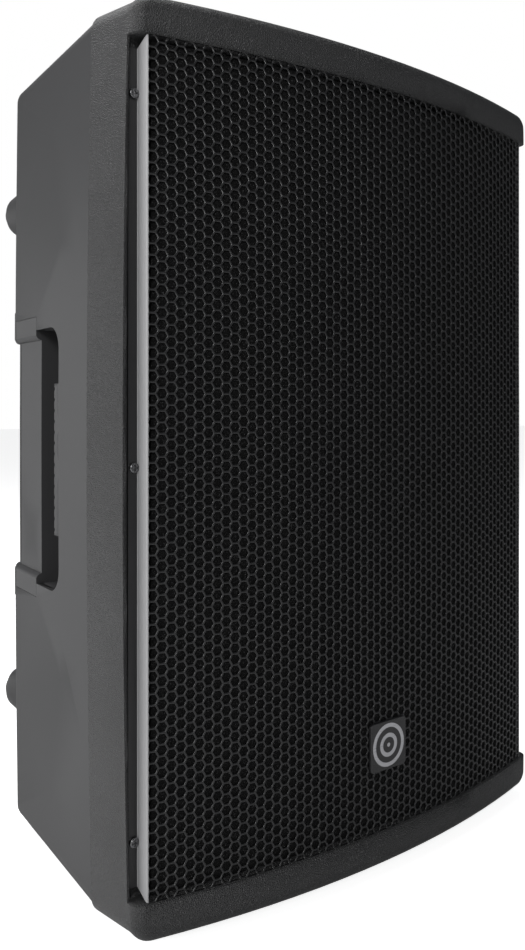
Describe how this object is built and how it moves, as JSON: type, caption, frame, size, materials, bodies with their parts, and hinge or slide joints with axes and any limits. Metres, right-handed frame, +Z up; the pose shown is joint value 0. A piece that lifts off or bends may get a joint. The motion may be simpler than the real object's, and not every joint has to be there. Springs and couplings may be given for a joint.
{
  "type": "powered loudspeaker cabinet",
  "caption": "Powered two-way loudspeaker in a moulded cabinet with a bowed perforated grille, side pocket handles, pole socket and rear amplifier panel.",
  "frame": {"origin": "on the floor, under the middle of the cabinet's overall box", "axes": "+Z up, -Y towards the listener through the grille, +X to the right when facing the grille"},
  "size_m": [0.401, 0.29, 0.6155],
  "materials": {
    "bezel_plastic": "black moulded polypropylene with a leather grain, slightly sheened on edges",
    "shell_plastic": "black moulded polypropylene with a fine spark-eroded satin texture",
    "soft_rubber": "matt black rubber",
    "grille_steel": "black powder-coated perforated steel, semi-gloss",
    "acoustic_foam": "open-cell black foam",
    "badge_metal": "anodised plate, black ground with a light raised mark",
    "black_screw": "black zinc",
    "moulded_black": "black moulded plastic",
    "gloss_black": "smooth black plastic",
    "knob_plastic": "black knob with a light pointer",
    "panel_steel": "black powder-coated plate",
    "plain_steel": "zinc-plated steel",
    "black_aluminium": "black anodised extrusion",
    "board_laminate": "green glass-epoxy laminate",
    "copper_winding": "enamelled copper winding",
    "led_lens": "diffused lens",
    "painted_steel": "black powder coat",
    "paper_cone": "black felted paper",
    "ferrite": "sintered ferrite"
  },
  "bodies": {
    "cabinet": {"amp_chassis": "plain_steel", "amp_panel": "panel_steel", "badge": "badge_metal", "button_switches": "moulded_black", "circuit_board": "board_laminate", "damping_pad": "acoustic_foam", "driver_body": "painted_steel", "driver_diaphragm": "plain_steel", "driver_rear_cover": "moulded_black", "fly_inserts": "plain_steel", "front_bezel": "bezel_plastic", "grille": "grille_steel", "grille_foam": "acoustic_foam", "grille_screws": "black_screw", "grip_bar_left": "shell_plastic", "grip_bar_right": "shell_plastic", "handle_cup_left": "shell_plastic", "handle_cup_right": "shell_plastic", "heatsink": "black_aluminium", "horn_screws": "black_screw", "horn_waveguide": "moulded_black", "indicator_leds": "led_lens", "input_jack_1": "moulded_black", "input_jack_2": "moulded_black", "monitor_pads": "soft_rubber", "output_jack": "moulded_black", "panel_screws": "black_screw", "pole_socket": "moulded_black", "port_tubes": "moulded_black", "potentiometers": "plain_steel", "power_inlet": "moulded_black", "power_transformer": "copper_winding", "rear_shell": "shell_plastic", "rubber_feet": "soft_rubber", "seam_gasket": "soft_rubber", "shell_screws": "black_screw", "socket_screws": "black_screw", "switch_frame": "moulded_black", "woofer_basket": "painted_steel", "woofer_gasket": "soft_rubber", "woofer_magnet": "ferrite", "woofer_pole_piece": "plain_steel", "woofer_screws": "black_screw", "woofer_spider": "paper_cone", "woofer_surround": "soft_rubber", "woofer_top_plate": "plain_steel"},
    "cone": {"woofer_cone": "paper_cone", "dust_cap": "paper_cone", "voice_coil": "copper_winding"},
    "input_1_knob": {"input_1_knob": "knob_plastic"},
    "input_2_knob": {"input_2_knob": "knob_plastic"},
    "bass_knob": {"bass_knob": "knob_plastic"},
    "treble_knob": {"treble_knob": "knob_plastic"},
    "line_button_1": {"line_button_1": "gloss_black"},
    "line_button_2": {"line_button_2": "gloss_black"},
    "latch_tab_1": {"latch_tab_1": "gloss_black"},
    "latch_tab_2": {"latch_tab_2": "gloss_black"},
    "power_rocker": {"power_rocker": "gloss_black"},
    "fuse_drawer": {"fuse_drawer": "moulded_black"}
  },
  "joints": [
    {"name": "cone_travel", "type": "slide", "parent": "cabinet", "child": "cone", "axis": [0, -1, 0], "range_m": [-0.005, 0.005], "stiffness_N_per_m": 3600, "deforming": ["woofer_surround", "woofer_spider"]},
    {"name": "input_1_knob_turn", "type": "hinge", "parent": "cabinet", "child": "input_1_knob", "pos_m": [-0.072, 0.1343, 0.3565], "axis": [0, 1, 0], "range_deg": [-150, 150]},
    {"name": "input_2_knob_turn", "type": "hinge", "parent": "cabinet", "child": "input_2_knob", "pos_m": [-0.024, 0.1343, 0.3565], "axis": [0, 1, 0], "range_deg": [-150, 150]},
    {"name": "bass_knob_turn", "type": "hinge", "parent": "cabinet", "child": "bass_knob", "pos_m": [0.024, 0.1343, 0.3565], "axis": [0, 1, 0], "range_deg": [-150, 150]},
    {"name": "treble_knob_turn", "type": "hinge", "parent": "cabinet", "child": "treble_knob", "pos_m": [0.072, 0.1343, 0.3565], "axis": [0, 1, 0], "range_deg": [-150, 150]},
    {"name": "line_button_1_press", "type": "slide", "parent": "cabinet", "child": "line_button_1", "axis": [0, -1, 0], "range_m": [0, 0.0025], "stiffness_N_per_m": 600, "springref_m": -0.001},
    {"name": "line_button_2_press", "type": "slide", "parent": "cabinet", "child": "line_button_2", "axis": [0, -1, 0], "range_m": [0, 0.0025], "stiffness_N_per_m": 600, "springref_m": -0.001},
    {"name": "latch_tab_1_press", "type": "slide", "parent": "cabinet", "child": "latch_tab_1", "axis": [0, -1, 0], "range_m": [0, 0.0015], "stiffness_N_per_m": 800, "springref_m": -0.001},
    {"name": "latch_tab_2_press", "type": "slide", "parent": "cabinet", "child": "latch_tab_2", "axis": [0, -1, 0], "range_m": [0, 0.0015], "stiffness_N_per_m": 800, "springref_m": -0.001},
    {"name": "power_rocker_tilt", "type": "hinge", "parent": "cabinet", "child": "power_rocker", "pos_m": [0.052, 0.1305, 0.1885], "axis": [1, 0, 0], "range_deg": [-16, 0]},
    {"name": "fuse_drawer_slide", "type": "slide", "parent": "cabinet", "child": "fuse_drawer", "axis": [0, 1, 0], "range_m": [0, 0.016]}
  ]
}
